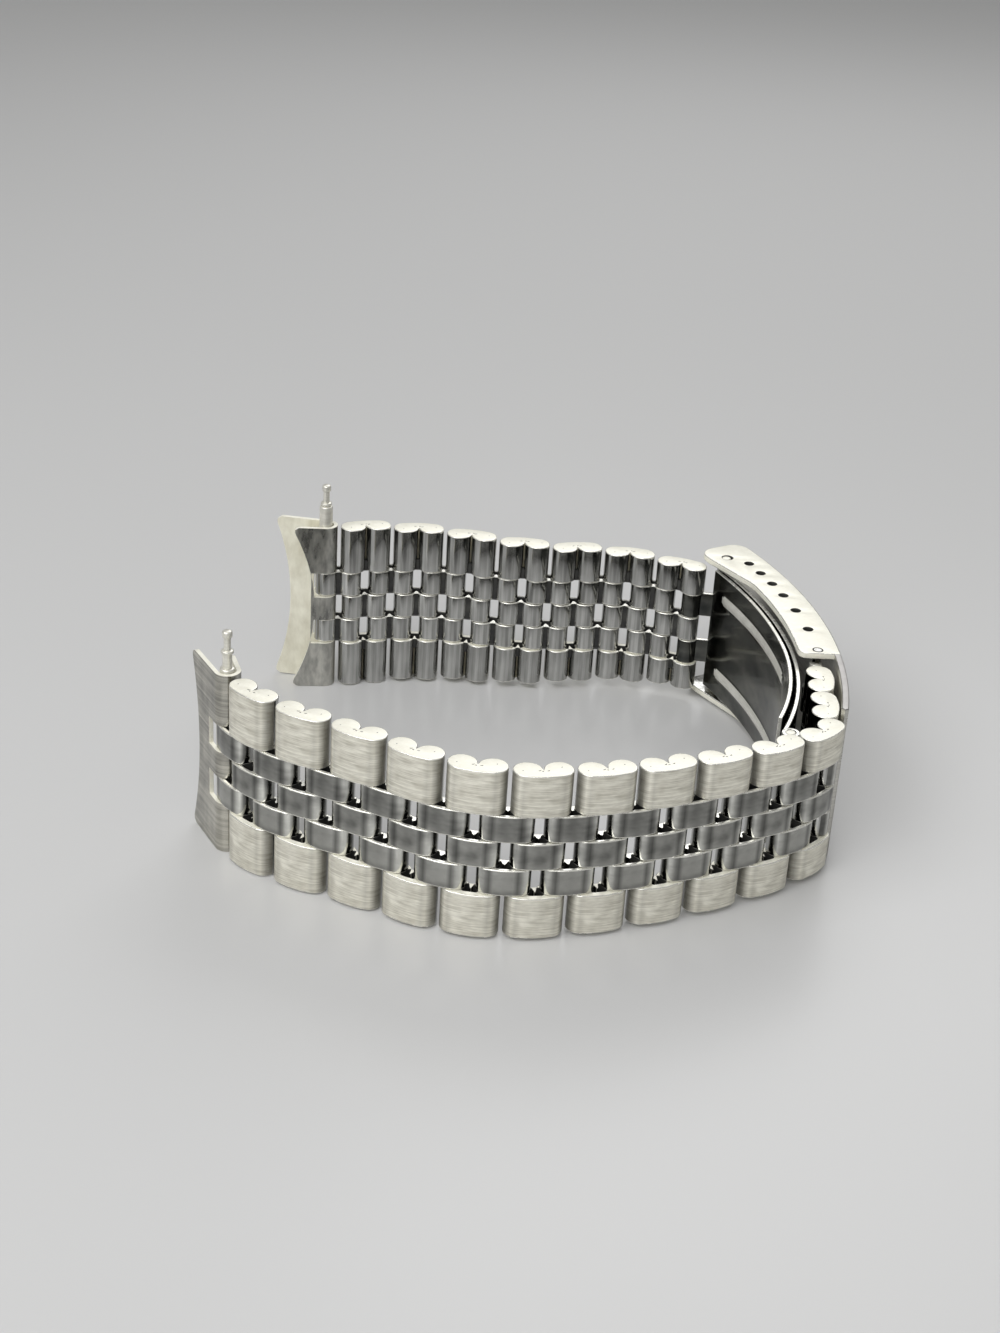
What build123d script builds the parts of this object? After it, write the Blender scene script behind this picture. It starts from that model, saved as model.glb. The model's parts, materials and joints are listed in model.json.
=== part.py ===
from build123d import *
import math
import os

# Steel watch bracelet of five rows of folded links, closed and standing on its long edge.
# Millimetres. It is laid out level first, with the hinge pins along Z and the middle of
# the width at z = 0, and is then set down on the table, which tilts it a little because
# it tapers. Rows A, B and C are the narrow centre rows, between the two outer rows.

# driving sizes of the strands
HINGE_SPACING = 3.05         # from one hinge pin to the next
END_WIDTH = 20.0             # end links, between the lugs of the watch
END_STEP = 0.2               # by which they stand out beside the first links
WIDTH_AT_CASE = END_WIDTH - END_STEP * 2
WIDTH_AT_CLASP = 15.2        # across the five rows beside the clasp
CENTRE_ROW = 2.85            # width of a centre row
ROW_GAP = 0.08               # between neighbouring rows
OUTER_LOBE = 1.35            # radius of an outer link's ends, round its pins
CENTRE_LOBE = 1.1            # the same for a centre link
CROWN = 0.15                 # rise of a link's outer face over its ends
CLEFT = 0.75                 # depth of the fold line on an outer link's inner side
PIN_RADIUS = 0.45
PIN_FIT = 0.05               # running clearance round a pin
PIN_SIDES = 6                # the hidden pins and their bores have flat sides
EYE_SIDES = 8                # so have the clasp's eyes, pins and holes
BARREL_SIDES = 12
OUTER_SIDES = 4              # flats round the end of an outer link
CENTRE_SIDES = 3             # and round the end of a centre link
OUTER_WRAP_ANGLE = -90       # to which those ends go round
CENTRE_WRAP_ANGLE = -60
LONG_LINKS = 13              # outer links of the long strand
SHORT_LINKS = 7              # and of the short one

# how the links lie, in degrees, going from the clasp to the end link
PLATE_ANGLES = [-5, -3, 1, 2, 13]       # against the outer plate, for the links under it
LONG_ANGLES = [-132, -142, -149, -151, -153, -156, -158, -161, -164, -168, -172]
LONG_ANGLES += [-181, -189, -198, -206, -206, -206, -205, -205, -212, -221, -233]
LONG_END_ANGLE = -246
SHORT_ANGLES = [160, 167, 174, 182, 190, 184, 178, 175, 172, 178, 184, 190, 196, 187]
SHORT_END_ANGLE = 178

# clasp: bent round an axis inside the loop, places along it are lengths on its outer face
CLASP_RADIUS = 59.7          # outer face of the cover
CLASP_FRONT = 35.3           # where the outer face stands out farthest
CLASP_LEVEL = 6.5
COVER_SHEET = 0.7
COVER_ROOM = 0.3             # between a side wall and the links
COVER_WIDTH = WIDTH_AT_CLASP + (COVER_SHEET + COVER_ROOM) * 2
COVER_FAR = 31.7             # end of the cover beside the short strand
COVER_NEAR = -10.1           # free end of its outer plate, over the long strand
WALL_NEAR = 2.3              # end of its side walls
WALL_DEPTH = 4.4
TIP_DEPTH = 5.9              # the walls are deeper round the hinge
TIP_LENGTH = 5.5
CORNER = 1.8
HOLE_RADIUS = 0.48
HOLE_DEPTH = 2.3             # of the bar holes under the outer face
FIRST_HOLE = 26.1
HOLE_STEPS = [2.8, 3.0, 3.2, 4.0, 4.8, 5.1]
HINGE_PLACE = 28.5           # where the outer blade hangs in the cover
HINGE_DEPTH = 3.9
BARREL = 0.9                 # outer radius of the rolled hinge eyes
HINGE_PIN = 0.5
BLADE_SHEET = 0.5
BLADE_WIDTH = WIDTH_AT_CLASP - COVER_ROOM * 2
BLADE_GAP = 0.2              # between the two blades, and beside their eyes
OUTER_BLADE_DEPTH = 4.5      # middle of the sheet under the cover's outer face
BLADE_BEND = 6.0             # where both blades start to bend away from the cover
MIDDLE_HINGE = -14.3
MIDDLE_HINGE_DEPTH = 5.2
BEND_SHARE = 0.3             # share of their drop that they have halfway along the bend
MIDDLE_EYE = 4.8             # width of the inner blade's eye
EYE_TAB = 3.0                # length of the tabs that carry its eyes
STRAND_PLACE = 29.8          # where the short strand hangs in the inner blade
STRAND_DEPTH = 7.3
RIB_HEIGHT = 0.25
RIB_WIDTH = 1.2
RIB_PLACE = 4.6              # of the ribs from the middle of the blade
RIB_END = 4.0                # of the ribs from the ends of the sheet

# end links: a sheet folded round the spring bar, open to the watch case
END_SHEET = 0.45
END_OUTER = 6.0              # reach of the outer skin at its corners, from the bar
END_INNER = 3.7              # and of the inner skin
OUTER_SAG = 1.9              # hollow of the outer skin's edge, for the round case
INNER_SAG = 2.7
SPREAD = 0.6                 # by which the skins move apart towards the case
LINK_ROOM = 1.4              # from the bar to the skins, beside the last centre links

# spring bars, which also join the end links to the strands
BAR_RADIUS = 0.75
BAR_WALL = 0.2
BAR_SHORT = 2.1              # by which its tube is short of the end link, at each end
BAR_TUBE = END_WIDTH - BAR_SHORT * 2
BAR_FIT = 0.07
COLLAR_RADIUS = 0.63
COLLAR_HEIGHT = 0.3
TIP_RADIUS = 0.5
TIP_HEAD = 0.7               # length of the tip's head
NECK_RADIUS = 0.35           # under the head
TIP_REACH = 2.4              # from the collar's foot to the end of the head
SHAFT_OUT = 1.6              # bare shaft between tube and collar
SHAFT_IN = 2.4               # shaft inside the tube
LONG_BAR_LIFT = 2.4          # the loose bars stand higher than the end links
SHORT_BAR_LIFT = 4.4
SHORT_TIP_PUSHED = 1.5       # the short strand's upper tip is pushed in
CLASP_BAR_RADIUS = 0.7
CLASP_BAR_WALL = 0.2
CLASP_BAR_SHAFT = 0.8        # bare shaft beside its tube
CLASP_BAR_TUBE = COVER_WIDTH - (COVER_SHEET + CLASP_BAR_SHAFT) * 2
CLASP_TIP_RADIUS = 0.42


CLASP_CENTRE = Vector(CLASP_FRONT - CLASP_RADIUS, CLASP_LEVEL)


def at(place, depth):
    """Point on the clasp: place along its outer face, depth under it."""
    turn = place / CLASP_RADIUS
    radius = CLASP_RADIUS - depth
    return CLASP_CENTRE + Vector(math.cos(turn), math.sin(turn)) * radius


def step(point, heading, length):
    """Point reached from another one along a heading in degrees."""
    turn = math.radians(heading)
    return point + Vector(math.cos(turn), math.sin(turn)) * length


def strand(start, leans, headings):
    """Pins of a strand, first along the clasp with the given leans, then along headings."""
    pins = [start]
    for lean in leans:
        arm = pins[-1] - CLASP_CENTRE
        along = math.degrees(math.atan2(arm.Y, arm.X)) - 90
        pins.append(step(pins[-1], along + lean, HINGE_SPACING))
    for heading in headings:
        pins.append(step(pins[-1], heading, HINGE_SPACING))
    return pins


HOLES = [FIRST_HOLE - sum(HOLE_STEPS[:count]) for count in range(len(HOLE_STEPS) + 1)]
LONG_PINS = strand(at(HOLES[-1], HOLE_DEPTH), PLATE_ANGLES, LONG_ANGLES)
SHORT_PINS = strand(at(STRAND_PLACE, STRAND_DEPTH), [], SHORT_ANGLES)
HINGE = at(HINGE_PLACE, HINGE_DEPTH)
MIDDLE = at(MIDDLE_HINGE, MIDDLE_HINGE_DEPTH)


def lobe_points(lobe, last, sides):
    """Corners of a link's end, from its outer face round to the last angle."""
    half = HINGE_SPACING / 2
    points = []
    for count in range(sides + 1):
        turn = math.radians(90 + (last - 90) * count / sides)
        points.append((half + lobe * math.cos(turn), lobe * math.sin(turn)))
    return points


def link_profile(lobe, last, sides, inner):
    """Section of a folded link: crowned outer face, round ends, and its inner side."""
    right = [(HINGE_SPACING / 6, lobe + CROWN)] + lobe_points(lobe, last, sides)
    left = [(-x, y) for x, y in reversed(right)]
    return make_face(Polyline(right + inner + left, close=True))


def slab(face, low, high):
    """The face made solid between two heights."""
    return extrude(Pos(0, 0, low) * face, high - low, dir=(0, 0, 1))


def rod(point, radius, low, high):
    """Upright rod."""
    return slab(Pos(point.X, point.Y) * Circle(radius), low, high)


def barrel(point, radius, low, high, sides=BARREL_SIDES):
    """Upright rod with flat sides and its corners at the radius."""
    return slab(Pos(point.X, point.Y) * RegularPolygon(radius, sides), low, high)


def bore(point, radius, low, high, sides=EYE_SIDES):
    """Upright rod with flat sides that clears the radius."""
    return slab(Pos(point.X, point.Y) * RegularPolygon(radius, sides, major_radius=False), low, high)


ROW_A = (CENTRE_ROW / 2 + ROW_GAP, CENTRE_ROW * 1.5 + ROW_GAP)
ROW_B = (-CENTRE_ROW / 2, CENTRE_ROW / 2)
ROW_C = (-ROW_A[1], -ROW_A[0])
OUTER_ROW = ROW_A[1] + ROW_GAP
FIRST_PIN, SECOND_PIN = Pos(-HINGE_SPACING / 2, 0), Pos(HINGE_SPACING / 2, 0)
PIN_FACE = RegularPolygon(PIN_RADIUS, PIN_SIDES)
BORE_FACE = RegularPolygon(PIN_RADIUS + PIN_FIT, PIN_SIDES, major_radius=False)
CLASP_BORE = RegularPolygon(CLASP_BAR_RADIUS + PIN_FIT, EYE_SIDES, major_radius=False)
CASE_BORE = RegularPolygon(BAR_RADIUS + PIN_FIT, EYE_SIDES, major_radius=False)
OUTER_FACE = link_profile(OUTER_LOBE, OUTER_WRAP_ANGLE, OUTER_SIDES, [(0, CLEFT - OUTER_LOBE)])
CENTRE_FACE = link_profile(CENTRE_LOBE, CENTRE_WRAP_ANGLE, CENTRE_SIDES, [])
FIXED_FACE = CENTRE_FACE - FIRST_PIN * PIN_FACE - SECOND_PIN * PIN_FACE


def between(first, second, side):
    """Place of a link on its two pins. Side is 1 if its outer face is left of the way on."""
    middle = (first + second) * 0.5
    way = (second - first) * side
    return Pos(middle.X, middle.Y) * Rot(0, 0, math.degrees(math.atan2(way.Y, way.X)))


def triple(first, second, side, width):
    """Both outer links, the middle one and the two pins that they share."""
    pieces = [slab(OUTER_FACE, OUTER_ROW, width / 2), slab(OUTER_FACE, -width / 2, -OUTER_ROW)]
    pieces += [slab(FIXED_FACE, *ROW_B)]
    pieces += [slab(place * PIN_FACE, -OUTER_ROW, OUTER_ROW) for place in (FIRST_PIN, SECOND_PIN)]
    return [between(first, second, side) * piece for piece in pieces]


def pair(first, second, side, near, far):
    """The two links of rows A and C, with their bores for the near and the far pin."""
    places = (FIRST_PIN, SECOND_PIN) if side > 0 else (SECOND_PIN, FIRST_PIN)
    face = CENTRE_FACE - places[0] * near - places[1] * far
    return [between(first, second, side) * slab(face, *row) for row in (ROW_A, ROW_C)]


def sector(inner, outer, start, end):
    """Face between two depths and two places of the clasp."""
    middle = (start + end) / 2
    edges = [
        ThreePointArc(at(start, outer), at(middle, outer), at(end, outer)),
        Line(at(end, outer), at(end, inner)),
        ThreePointArc(at(end, inner), at(middle, inner), at(start, inner)),
        Line(at(start, inner), at(start, outer)),
    ]
    return make_face(edges)


def rounded(face, points, radius):
    """The face with its corners nearest to the points rounded."""
    return fillet([face.vertices().sort_by_distance(point)[0] for point in points], radius)


def cover_face():
    """Section of the cover with its side walls, which are deeper at the hinge end."""
    bend = COVER_FAR - TIP_LENGTH
    start = bend - TIP_LENGTH
    face = sector(COVER_SHEET, 0, COVER_NEAR, COVER_FAR) + sector(WALL_DEPTH, 0, WALL_NEAR, COVER_FAR)
    tip = Polyline(at(start, WALL_DEPTH), at(start, COVER_SHEET), at(COVER_FAR, COVER_SHEET),
                   at(COVER_FAR, TIP_DEPTH), at(bend + TIP_LENGTH / 2, TIP_DEPTH), close=True)
    return rounded(face + make_face(tip), (at(COVER_FAR, 0), at(COVER_FAR, TIP_DEPTH)), CORNER)


def cover():
    """Outer plate with two side walls and their rows of holes."""
    half = COVER_WIDTH / 2
    inside = sector(TIP_DEPTH * 2, COVER_SHEET, COVER_NEAR - CORNER, COVER_FAR + CORNER)
    body = slab(cover_face(), -half, half) - slab(inside, COVER_SHEET - half, half - COVER_SHEET)
    for place in HOLES:
        body -= bore(at(place, HOLE_DEPTH), HOLE_RADIUS, -half, half)
    body -= barrel(HINGE, HINGE_PIN, -half, half, EYE_SIDES)
    return [body]


def blade_sheet(depth, far, near, drop):
    """Section of a blade, which bends away from the cover by the drop at its near end."""
    middle = (near + BLADE_BEND) / 2
    straight = (far + BLADE_BEND) / 2
    bow = drop * BEND_SHARE
    high, low = depth - BLADE_SHEET / 2, depth + BLADE_SHEET / 2
    edges = [
        ThreePointArc(at(far, high), at(straight, high), at(BLADE_BEND, high)),
        ThreePointArc(at(BLADE_BEND, high), at(middle, high + bow), at(near, high + drop)),
        Line(at(near, high + drop), at(near, low + drop)),
        ThreePointArc(at(near, low + drop), at(middle, low + bow), at(BLADE_BEND, low)),
        ThreePointArc(at(BLADE_BEND, low), at(straight, low), at(far, low)),
        Line(at(far, low), at(far, high)),
    ]
    return make_face(edges)


def web(start, end, low, high):
    """Flat strip of sheet from one point to another."""
    way = (end - start).normalized() * (BLADE_SHEET / 2)
    side = Vector(-way.Y, way.X)
    return slab(make_face(Polyline(start + side, end + side, end - side, start - side, close=True)), low, high)


OUTER_DROP = MIDDLE_HINGE_DEPTH + BARREL - BLADE_SHEET / 2 - OUTER_BLADE_DEPTH
INNER_BLADE_DEPTH = OUTER_BLADE_DEPTH + BLADE_SHEET + BLADE_GAP
HALF_BLADE = BLADE_WIDTH / 2
HALF_EYE = MIDDLE_EYE / 2


def outer_blade():
    """Blade that hangs in the cover, with eyes at both ends."""
    body = slab(blade_sheet(OUTER_BLADE_DEPTH, HINGE_PLACE, MIDDLE_HINGE, OUTER_DROP), -HALF_BLADE, HALF_BLADE)
    body += barrel(HINGE, BARREL, -HALF_BLADE, HALF_BLADE) + barrel(MIDDLE, BARREL, -HALF_BLADE, HALF_BLADE)
    body -= rod(MIDDLE, EYE_TAB + BLADE_GAP, -HALF_EYE - BLADE_GAP, HALF_EYE + BLADE_GAP)
    body -= bore(HINGE, HINGE_PIN + PIN_FIT, -HALF_BLADE, HALF_BLADE)
    body -= barrel(MIDDLE, HINGE_PIN, -HALF_BLADE, HALF_BLADE, EYE_SIDES)
    return [body]


def inner_blade():
    """Blade next to the wrist, with one eye at the middle hinge and two for the strand."""
    near, far = MIDDLE_HINGE + EYE_TAB, HINGE_PLACE - BLADE_GAP
    sheet = blade_sheet(INNER_BLADE_DEPTH, far, near, OUTER_DROP)
    body = slab(sheet, -HALF_BLADE, HALF_BLADE)
    near_end, far_end = at(near, INNER_BLADE_DEPTH + OUTER_DROP), at(far, INNER_BLADE_DEPTH)
    rim = at(MIDDLE_HINGE, MIDDLE_HINGE_DEPTH + BARREL - BLADE_SHEET / 2)
    body += web(near_end, rim, -HALF_EYE, HALF_EYE) + barrel(MIDDLE, BARREL, -HALF_EYE, HALF_EYE)
    body -= bore(MIDDLE, HINGE_PIN + PIN_FIT, -HALF_EYE, HALF_EYE)
    for row in (ROW_A, ROW_C):
        body += web(far_end, SHORT_PINS[0], *row) + barrel(SHORT_PINS[0], CENTRE_LOBE, *row)
        body -= bore(SHORT_PINS[0], PIN_RADIUS + PIN_FIT, *row)
    rib = sector(INNER_BLADE_DEPTH + BLADE_SHEET / 2 + RIB_HEIGHT, INNER_BLADE_DEPTH, BLADE_BEND, far - RIB_END)
    for side in (-RIB_PLACE, RIB_PLACE):
        body += slab(rib, side - RIB_WIDTH / 2, side + RIB_WIDTH / 2)
    return [body]


def hinge_pin(point, half):
    """Pin through the eyes of the clasp."""
    return [barrel(point, HINGE_PIN, -half, half, EYE_SIDES)]


def case_edge(reach, sag, low, high):
    """Round space for the watch case, which hollows the edge of a skin."""
    half = END_WIDTH / 2
    radius = (half ** 2 + sag ** 2) / (2 * sag)
    return Pos(reach - sag + radius, (low + high) / 2, 0) * Rot(90, 0, 0) * Cylinder(radius, high - low)


def fold_face(lobe, outer, inner):
    """Section of the sheet folded round the bar, with skins of the given reach."""
    open_lobe = lobe - END_SHEET
    edges = [
        Polyline((outer, lobe - END_SHEET + SPREAD), (outer, lobe + SPREAD), (0, lobe)),
        ThreePointArc((0, lobe), (-lobe, 0), (0, -lobe)),
        Polyline((0, -lobe), (inner, -lobe - SPREAD), (inner, END_SHEET - lobe - SPREAD), (0, -open_lobe)),
        ThreePointArc((0, -open_lobe), (-open_lobe, 0), (0, open_lobe)),
        Line((0, open_lobe), (outer, open_lobe + SPREAD)),
    ]
    return make_face(edges)


def end_link(pin, heading, side):
    """Sheet folded round the spring bar, cut away for the last centre links."""
    half = END_WIDTH / 2
    reach = END_OUTER + END_SHEET
    body = slab(fold_face(OUTER_LOBE, reach, reach), -half, half)
    body -= case_edge(END_OUTER, OUTER_SAG, 0, reach)
    body -= case_edge(END_INNER, INNER_SAG, -reach, 0)
    for low, high in (ROW_A, ROW_C):
        room = Pos(LINK_ROOM - reach / 2, 0) * Rectangle(reach, reach)
        body -= slab(room, low - ROW_GAP, high + ROW_GAP)
    place = Pos(pin.X, pin.Y) * Rot(0, 0, heading)
    turned = mirror(body, Plane.XZ) if side < 0 else body
    return [place * turned]


def bar_tip(point, mouth, way, out, plunger):
    """Sprung tip of a bar, from its shaft inside the tube to its head."""
    shaft, collar, neck, head, reach = plunger
    shoulder, root, end = mouth + out * way, mouth - SHAFT_IN * way, mouth + (out + reach) * way
    body = barrel(point, shaft, *sorted((root, shoulder)), PIN_SIDES)
    body += barrel(point, neck, *sorted((shoulder, end)))
    body += rod(point, head, *sorted((end - TIP_HEAD * way, end)))
    if collar:
        body += barrel(point, collar, *sorted((shoulder, shoulder + COLLAR_HEIGHT * way)))
    return body


def bar(point, height, tube_length, radius, wall, outs, tip):
    """Spring bar: tube, spring and two sprung tips. Outs are the bare shafts, low one first."""
    half = tube_length / 2
    low, high = height - half, height + half
    inside = radius - wall
    shaft = inside - BAR_FIT
    tube = rod(point, radius, low, high) - bore(point, inside, low, high, PIN_SIDES)
    spring = barrel(point, shaft, low + SHAFT_IN, high - SHAFT_IN, PIN_SIDES)
    spring -= barrel(point, shaft / 2, low + SHAFT_IN, high - SHAFT_IN, PIN_SIDES)
    tips = [bar_tip(point, mouth, way, out, (shaft,) + tip)
            for mouth, way, out in ((low, -1, outs[0]), (high, 1, outs[1]))]
    return {"tube": [tube], "spring": [spring], "tip_low": [tips[0]], "tip_top": [tips[1]]}


def strand_nodes(name, pins, side, links, first_is_pair):
    """All links of a strand, numbered from the end link as the outer links are."""
    nodes = {}
    for count, (first, second) in enumerate(zip(pins, pins[1:])):
        is_pair = (count % 2 == 0) == first_is_pair
        number = links - (count - (1 if first_is_pair else 0)) // 2
        if is_pair:
            near = CLASP_BORE if first_is_pair and count == 0 else BORE_FACE
            far = CASE_BORE if count == len(pins) - 2 else BORE_FACE
            number = links + 1 - count // 2 if first_is_pair else number
            nodes[f"{name}_pair_{number:02d}"] = pair(first, second, side, near, far)
        else:
            share = (number - 1) / (links - 1)
            width = WIDTH_AT_CASE + (WIDTH_AT_CLASP - WIDTH_AT_CASE) * share
            nodes[f"{name}_triple_{number:02d}"] = triple(first, second, side, width)
    return nodes


def all_nodes():
    """Every node of the bracelet, laid out level."""
    collared = (COLLAR_RADIUS, NECK_RADIUS, TIP_RADIUS, TIP_REACH)
    shoulder = CLASP_BAR_SHAFT - PIN_FIT
    plain = (0, CLASP_TIP_RADIUS, CLASP_TIP_RADIUS, COVER_SHEET + PIN_FIT)
    nodes = {"clasp_cover": cover(), "clasp_outer_blade": outer_blade(), "clasp_inner_blade": inner_blade()}
    nodes["clasp_hinge_pin"] = hinge_pin(HINGE, COVER_WIDTH / 2)
    nodes["clasp_middle_pin"] = hinge_pin(MIDDLE, HALF_BLADE)
    nodes |= strand_nodes("long", LONG_PINS, 1, LONG_LINKS, True)
    nodes |= strand_nodes("short", SHORT_PINS, -1, SHORT_LINKS, False)
    nodes["long_end_link"] = end_link(LONG_PINS[-1], LONG_END_ANGLE, 1)
    nodes["short_end_link"] = end_link(SHORT_PINS[-1], SHORT_END_ANGLE, -1)
    pushed = (SHAFT_OUT, SHAFT_OUT - SHORT_TIP_PUSHED)
    case = (BAR_TUBE, BAR_RADIUS, BAR_WALL)
    clasp = (CLASP_BAR_TUBE, CLASP_BAR_RADIUS, CLASP_BAR_WALL)
    bars = {
        "long_bar": bar(LONG_PINS[-1], LONG_BAR_LIFT, *case, (SHAFT_OUT, SHAFT_OUT), collared),
        "short_bar": bar(SHORT_PINS[-1], SHORT_BAR_LIFT, *case, pushed, collared),
        "clasp_bar": bar(LONG_PINS[0], 0, *clasp, (shoulder, shoulder), plain),
    }
    for name, pieces in bars.items():
        nodes |= {f"{name}_{piece}": solids for piece, solids in pieces.items()}
    return nodes


def table_place(nodes):
    """Move that stands the level bracelet on the table, on both end links and the cover."""
    feet = [Vector(pin.X, pin.Y, -END_WIDTH / 2) for pin in (SHORT_PINS[-1], LONG_PINS[-1])]
    feet.append(Vector(at(0, 0).X, at(0, 0).Y, -COVER_WIDTH / 2))
    normal = (feet[1] - feet[0]).cross(feet[2] - feet[0])
    settle = Plane(origin=feet[0], x_dir=(1, 0, 0), z_dir=normal).location.inverse()
    box = Compound([settle * piece for pieces in nodes.values() for piece in pieces]).bounding_box()
    return Pos(-box.center().X, -box.center().Y, -box.min.Z) * settle


if __name__ == "__main__":
    os.makedirs("parts", exist_ok=True)
    level = all_nodes()
    place = table_place(level)
    for name, pieces in level.items():
        export_step(Compound([place * piece for piece in pieces]), f"parts/{name}.step")
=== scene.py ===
import bpy
import json
import math
from mathutils import Matrix, Vector
from mathutils.geometry import tessellate_polygon


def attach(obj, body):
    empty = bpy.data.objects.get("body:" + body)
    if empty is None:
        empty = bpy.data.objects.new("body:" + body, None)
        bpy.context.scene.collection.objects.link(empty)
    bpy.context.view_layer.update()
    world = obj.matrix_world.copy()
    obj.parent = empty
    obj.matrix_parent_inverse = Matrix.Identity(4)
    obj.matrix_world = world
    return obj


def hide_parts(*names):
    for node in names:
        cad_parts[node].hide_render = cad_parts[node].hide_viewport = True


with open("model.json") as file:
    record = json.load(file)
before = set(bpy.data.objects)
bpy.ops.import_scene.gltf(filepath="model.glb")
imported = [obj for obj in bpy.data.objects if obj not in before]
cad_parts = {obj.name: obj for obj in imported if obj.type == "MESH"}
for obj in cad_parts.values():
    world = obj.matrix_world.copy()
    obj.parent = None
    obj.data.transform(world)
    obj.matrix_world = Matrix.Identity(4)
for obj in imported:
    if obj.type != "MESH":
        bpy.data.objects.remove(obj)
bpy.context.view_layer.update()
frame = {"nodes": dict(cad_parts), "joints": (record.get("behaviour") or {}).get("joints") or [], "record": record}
scene = bpy.context.scene
MM = 0.001

# the same sizes as in the part's source, in millimetres and degrees
CENTRE_ROW = 2.85
ROW_GAP = 0.08
OUTER_LOBE = 1.35
CENTRE_LOBE = 1.1
CROWN = 0.15
WIDTH_AT_CASE = 19.6
WIDTH_AT_CLASP = 15.2
LONG_LINKS = 13
SHORT_LINKS = 7
PIN_RADIUS = 0.45
LONG_END_ANGLE = -246
SHORT_END_ANGLE = 178

CLASP_RADIUS = 59.7
CLASP_FRONT = 35.3
CLASP_LEVEL = 6.5
COVER_WIDTH = 17.2
COVER_SHEET = 0.7
COVER_FAR = 31.7
COVER_NEAR = -10.1
WALL_NEAR = 2.3
WALL_DEPTH = 4.4
TIP_DEPTH = 5.9
TIP_LENGTH = 5.5
CORNER = 1.8
HOLE_RADIUS = 0.48
HOLE_DEPTH = 2.3
FIRST_HOLE = 26.1
HOLE_STEPS = [2.8, 3.0, 3.2, 4.0, 4.8, 5.1]
HINGE_PLACE = 28.5
HINGE_DEPTH = 3.9
BARREL = 0.9
HINGE_PIN = 0.5
BLADE_SHEET = 0.5
BLADE_WIDTH = 14.6
BLADE_GAP = 0.2
OUTER_BLADE_DEPTH = 4.5
BLADE_BEND = 6.0
MIDDLE_HINGE = -14.3
MIDDLE_HINGE_DEPTH = 5.2
BEND_SHARE = 0.3
MIDDLE_EYE = 4.8
EYE_TAB = 3.0
RIB_HEIGHT = 0.25
RIB_WIDTH = 1.2
RIB_PLACE = 4.6
RIB_END = 4.0

END_WIDTH = 20.0
END_SHEET = 0.45
END_OUTER = 6.0
END_INNER = 3.7
OUTER_SAG = 1.9
INNER_SAG = 2.7
SPREAD = 0.6
LINK_ROOM = 1.4

BAR_RADIUS = 0.75
BAR_TUBE = 15.8
BAR_SHAFT = 0.48
COLLAR_RADIUS = 0.63
COLLAR_HEIGHT = 0.3
TIP_RADIUS = 0.5
TIP_HEAD = 0.7
NECK_RADIUS = 0.35
TIP_REACH = 2.4
SHAFT_OUT = 1.6
SHAFT_IN = 2.4
LONG_BAR_LIFT = 2.4
SHORT_BAR_LIFT = 4.4
SHORT_TIP_PUSHED = 1.5
CLASP_BAR_RADIUS = 0.7
CLASP_BAR_TUBE = 14.2

# sizes of what is finer here than in the solids
OUTER_CLEFT = 0.1
CENTRE_CLEFT = -0.06
CLEFT_HALF = 0.04
OUTER_ROUNDING = 0.09
CENTRE_ROUNDING = 0.13
HOLLOW_DEPTH = 1.2
PIN_PLAY = 0.05
BAR_PLAY = 0.07
PATCH_LIFT = 0.003
PATCH_HALF = 0.06

COVER_ROUNDING = 0.1
WALL_INSET = 0.04
PLATE_INSET = 0.02
PLATE_ROUND = 0.3
PLATE_BACK_SHORT = 1.0
HINGE_HOLE_PLAY = 0.08
HINGE_HOLE_OFF = (0.06, 0.09)

BLADE_THINNING = 0.1
BLADE_EDGE = 0.06
EYE_ROUNDING = 0.08
TAB_ROUNDING = 0.06
TAB_OVERLAP = 0.3
RIB_START = 3.0
RIB_SLOPE = 0.2
RIB_FOOT = 0.08

END_EDGE = 0.15
EAR = 1.0
EAR_CUT = 0.8
EAR_LEVEL = 1.5

BAR_EDGE = 0.14
CLASP_BAR_EDGE = 0.1
HINGE_PIN_EDGE = 0.12
HINGE_PIN_SHORT = 0.03
MIDDLE_PIN_EDGE = 0.1


# Materials. Colours and roughness vary with a pattern in the piece's own coordinates.

CLOUD_SHARE = 0.42
COLOUR_SPAN = (0.36, 0.64)
ROUGH_SPAN = (0.3, 0.7)
RELIEF_DEPTH = 0.00003
LINK_REACH = 3


def new_material(name):
    """Empty material, its node tree and its shader."""
    mat = bpy.data.materials.new(name)
    mat.use_nodes = True
    return mat, mat.node_tree, mat.node_tree.nodes["Principled BSDF"]


def node(tree, kind, **values):
    """Node with its inputs or settings filled in."""
    made = tree.nodes.new(kind)
    for key, value in values.items():
        if key in made.inputs:
            made.inputs[key].default_value = value
        else:
            setattr(made, key, value)
    return made


def grey(value):
    """Colour without a hue."""
    return (value, value, value)


def ramp(tree, source, stops):
    """Colour ramp through the stops, each a place and a colour."""
    made = tree.nodes.new("ShaderNodeValToRGB")
    points = made.color_ramp.elements
    for _ in stops[2:]:
        points.new(0.5)
    for point, (place, colour) in zip(points, stops):
        point.position = place
        point.color = (*colour, 1)
    tree.links.new(source, made.inputs["Fac"])
    return made.outputs["Color"]


def coordinate(tree, source, axis):
    """One axis of a kind of texture coordinate."""
    place = node(tree, "ShaderNodeTexCoord")
    split = node(tree, "ShaderNodeSeparateXYZ")
    tree.links.new(place.outputs[source], split.inputs["Vector"])
    return split.outputs[axis]


def grain(tree, closeness, detail):
    """Noise in the piece's own coordinates, drawn out where it is less close."""
    place = node(tree, "ShaderNodeTexCoord")
    mapping = node(tree, "ShaderNodeMapping", Scale=closeness)
    tree.links.new(place.outputs["Object"], mapping.inputs["Vector"])
    noise = node(tree, "ShaderNodeTexNoise", Scale=1.0, Detail=detail, Roughness=0.6)
    tree.links.new(mapping.outputs["Vector"], noise.inputs["Vector"])
    return noise.outputs["Fac"]


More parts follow.
